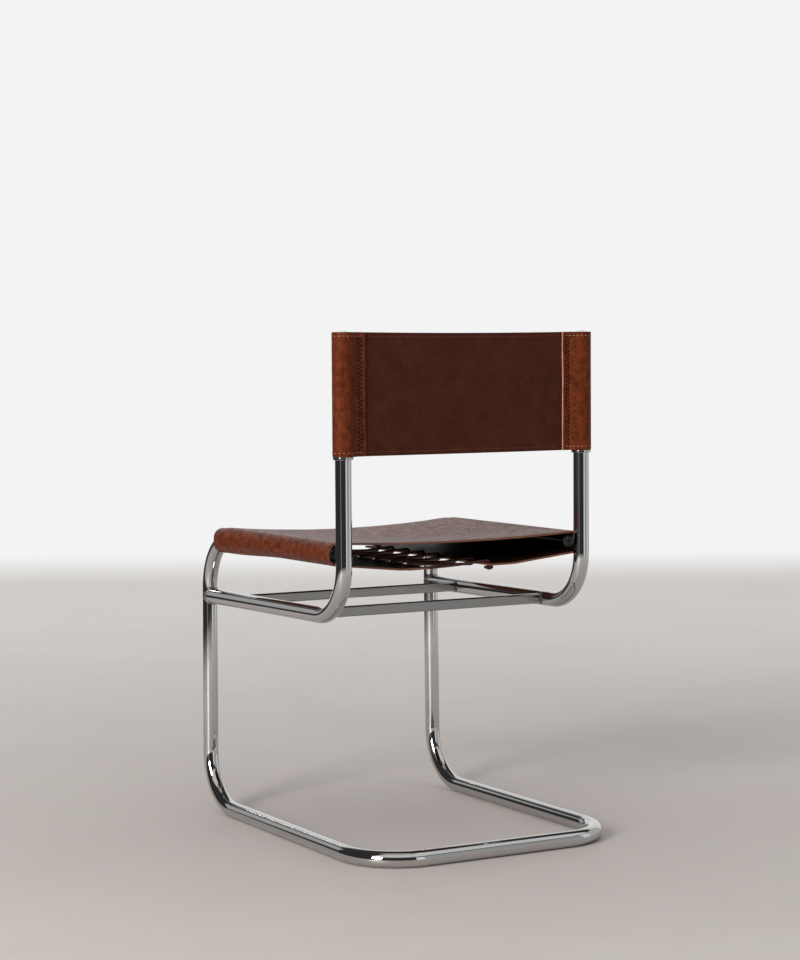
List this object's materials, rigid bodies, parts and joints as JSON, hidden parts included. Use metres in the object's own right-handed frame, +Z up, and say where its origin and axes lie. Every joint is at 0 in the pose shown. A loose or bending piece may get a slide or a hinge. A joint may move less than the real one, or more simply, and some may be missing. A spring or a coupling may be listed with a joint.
{
  "type": "cantilever chair",
  "caption": "Cantilever dining chair of bent chromed tube with a laced sleeve seat and a sewn strap back of dark brown saddle leather.",
  "frame": {"origin": "on the floor, on the chair's centre plane, midway between the front of the front legs and the back of the rear floor tube", "axes": "+Z up, -Y the way the sitter faces, +X to the sitter's left"},
  "size_m": [0.4582, 0.59, 0.793],
  "materials": {
    "chrome_tube": "polished chrome plate on bent steel tube",
    "bar_steel": "chromed flat bar, a little duller than the tube",
    "weld_metal": "plated weld bead",
    "collar_metal": "dark ring with a bright lower edge",
    "pale_plastic": "pale domed plug",
    "dark_plastic": "dark domed plug",
    "saddle_leather": "dark brown saddle leather, worn to a soft sheen",
    "lace_leather": "dark brown round lace",
    "sewing_thread": "tan waxed thread"
  },
  "bodies": {
    "root": {"base_frame_tube": "chrome_tube", "back_tube_left": "chrome_tube", "back_tube_right": "chrome_tube", "front_cross_bar": "bar_steel", "rear_cross_bar": "bar_steel", "side_rail_welds": "weld_metal", "cross_bar_welds": "weld_metal", "seat_rail_cap_left": "dark_plastic", "seat_rail_cap_right": "dark_plastic", "back_post_cap_left": "pale_plastic", "back_post_cap_right": "pale_plastic", "back_collar_left": "collar_metal", "back_collar_right": "collar_metal", "backrest_leather": "saddle_leather", "back_seam_thread_left": "sewing_thread", "back_seam_thread_right": "sewing_thread", "back_edge_thread_top": "sewing_thread", "back_edge_thread_bottom": "sewing_thread", "seat_leather": "saddle_leather", "seat_lacing": "lace_leather", "lacing_knots": "lace_leather"}
  },
  "joints": []
}
